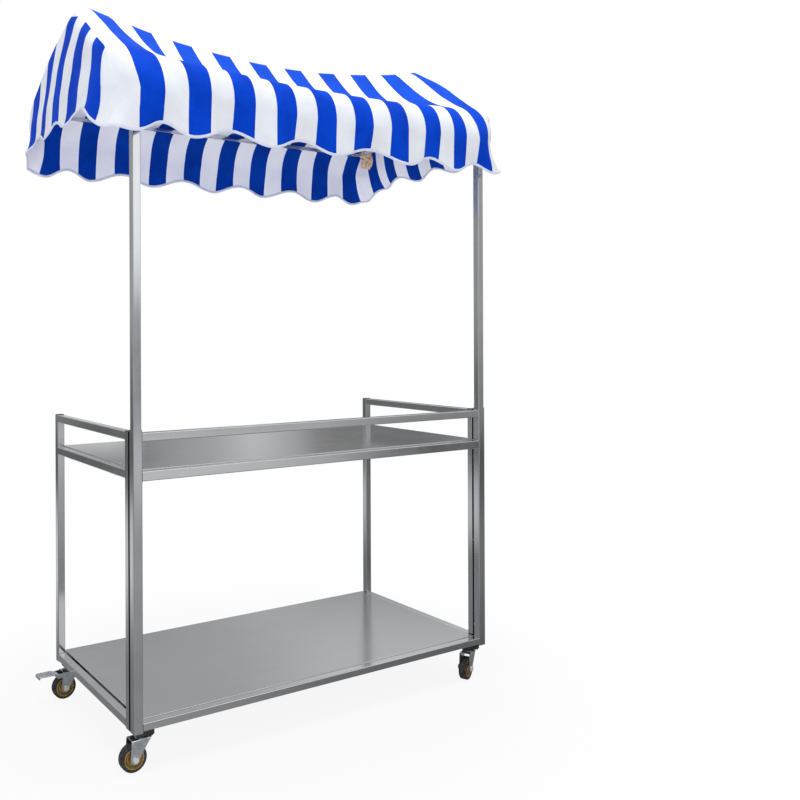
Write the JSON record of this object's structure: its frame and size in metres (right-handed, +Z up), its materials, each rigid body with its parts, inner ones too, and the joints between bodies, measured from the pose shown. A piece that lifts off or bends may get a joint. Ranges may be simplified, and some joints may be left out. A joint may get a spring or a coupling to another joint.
{
  "type": "food cart",
  "caption": "Stainless tube food cart on swivel castors, with a counter, a base deck, end rails and a striped cloth canopy on front masts.",
  "frame": {"origin": "on the floor, under the middle of the canopy's outline", "axes": "+Z up, +X along the cart to its right end, -Y towards the serving side with the masts"},
  "size_m": [1.36, 0.716, 1.996],
  "materials": {
    "stainless": "brushed",
    "zinc_steel": "zinc plated",
    "tyre_rubber": "matt",
    "wheel_core": "amber, moulded",
    "end_plugs": "moulded",
    "canopy_cloth": "woven, blue and white stripes",
    "ribbon": "woven tape"
  },
  "bodies": {
    "frame": {"left_front_post": "stainless", "left_rear_post": "stainless", "left_hand_rail": "stainless", "left_counter_rail": "stainless", "left_base_rail": "stainless", "left_mast_sleeve": "stainless", "right_front_post": "stainless", "right_rear_post": "stainless", "right_hand_rail": "stainless", "right_counter_rail": "stainless", "right_base_rail": "stainless", "right_mast_sleeve": "stainless", "front_hand_rail": "stainless", "front_counter_rail": "stainless", "front_base_rail": "stainless", "counter_tray": "stainless", "base_deck": "stainless", "tray_stiffeners": "stainless", "tray_brackets": "stainless", "bracket_screws": "zinc_steel", "mast_bolts": "zinc_steel", "mast_spacers": "zinc_steel", "post_caps": "end_plugs", "castor_gussets": "zinc_steel", "castor_plates": "zinc_steel", "castor_kingpins": "zinc_steel", "castor_bolts": "zinc_steel"},
    "canopy": {"left_mast": "stainless", "left_arch": "stainless", "left_brace": "stainless", "right_mast": "stainless", "right_arch": "stainless", "right_brace": "stainless", "front_eave_bar": "stainless", "rear_eave_bar": "stainless", "arch_plugs": "end_plugs", "canopy_cover": "canopy_cloth", "corner_ties": "ribbon"},
    "front_left_castor": {"front_left_fork": "zinc_steel", "front_left_axle": "zinc_steel"},
    "front_left_wheel": {"front_left_wheel_core": "wheel_core", "front_left_tyre": "tyre_rubber"},
    "front_right_castor": {"front_right_fork": "zinc_steel", "front_right_axle": "zinc_steel"},
    "front_right_wheel": {"front_right_wheel_core": "wheel_core", "front_right_tyre": "tyre_rubber"},
    "rear_left_castor": {"rear_left_fork": "zinc_steel", "rear_left_axle": "zinc_steel"},
    "rear_left_wheel": {"rear_left_wheel_core": "wheel_core", "rear_left_tyre": "tyre_rubber"},
    "rear_left_brake": {"rear_left_brake_pedal": "zinc_steel"},
    "rear_right_castor": {"rear_right_fork": "zinc_steel", "rear_right_axle": "zinc_steel"},
    "rear_right_wheel": {"rear_right_wheel_core": "wheel_core", "rear_right_tyre": "tyre_rubber"},
    "rear_right_brake": {"rear_right_brake_pedal": "zinc_steel"}
  },
  "joints": [
    {"name": "canopy_lift", "type": "slide", "parent": "frame", "child": "canopy", "axis": [0, 0, 1], "range_m": [0, 0.17]},
    {"name": "front_left_swivel", "type": "hinge", "parent": "frame", "child": "front_left_castor", "pos_m": [-0.563, -0.283, 0.09], "axis": [0, 0, 1], "continuous": true},
    {"name": "front_left_roll", "type": "hinge", "parent": "front_left_castor", "child": "front_left_wheel", "pos_m": [-0.589, -0.28345, 0.035], "axis": [0.0175, -0.9998, 0], "continuous": true},
    {"name": "front_right_swivel", "type": "hinge", "parent": "frame", "child": "front_right_castor", "pos_m": [0.563, -0.283, 0.09], "axis": [0, 0, 1], "continuous": true},
    {"name": "front_right_roll", "type": "hinge", "parent": "front_right_castor", "child": "front_right_wheel", "pos_m": [0.53963, -0.2944, 0.035], "axis": [0.4384, -0.8988, 0], "continuous": true},
    {"name": "rear_left_swivel", "type": "hinge", "parent": "frame", "child": "rear_left_castor", "pos_m": [-0.563, 0.243, 0.09], "axis": [0, 0, 1], "continuous": true},
    {"name": "rear_left_roll", "type": "hinge", "parent": "rear_left_castor", "child": "rear_left_wheel", "pos_m": [-0.58898, 0.24209, 0.035], "axis": [0.0349, -0.9994, 0], "continuous": true},
    {"name": "rear_left_brake_press", "type": "hinge", "parent": "rear_left_castor", "child": "rear_left_brake", "pos_m": [-0.61197, 0.24129, 0.074], "axis": [0.0349, -0.9994, 0], "range_deg": [0, 12]},
    {"name": "rear_right_swivel", "type": "hinge", "parent": "frame", "child": "rear_right_castor", "pos_m": [0.563, 0.243, 0.09], "axis": [0, 0, 1], "continuous": true},
    {"name": "rear_right_roll", "type": "hinge", "parent": "rear_right_castor", "child": "rear_right_wheel", "pos_m": [0.53739, 0.23849, 0.035], "axis": [0.1736, -0.9848, 0], "continuous": true},
    {"name": "rear_right_brake_press", "type": "hinge", "parent": "rear_right_castor", "child": "rear_right_brake", "pos_m": [0.51474, 0.23449, 0.074], "axis": [0.1736, -0.9848, 0], "range_deg": [0, 12]}
  ]
}
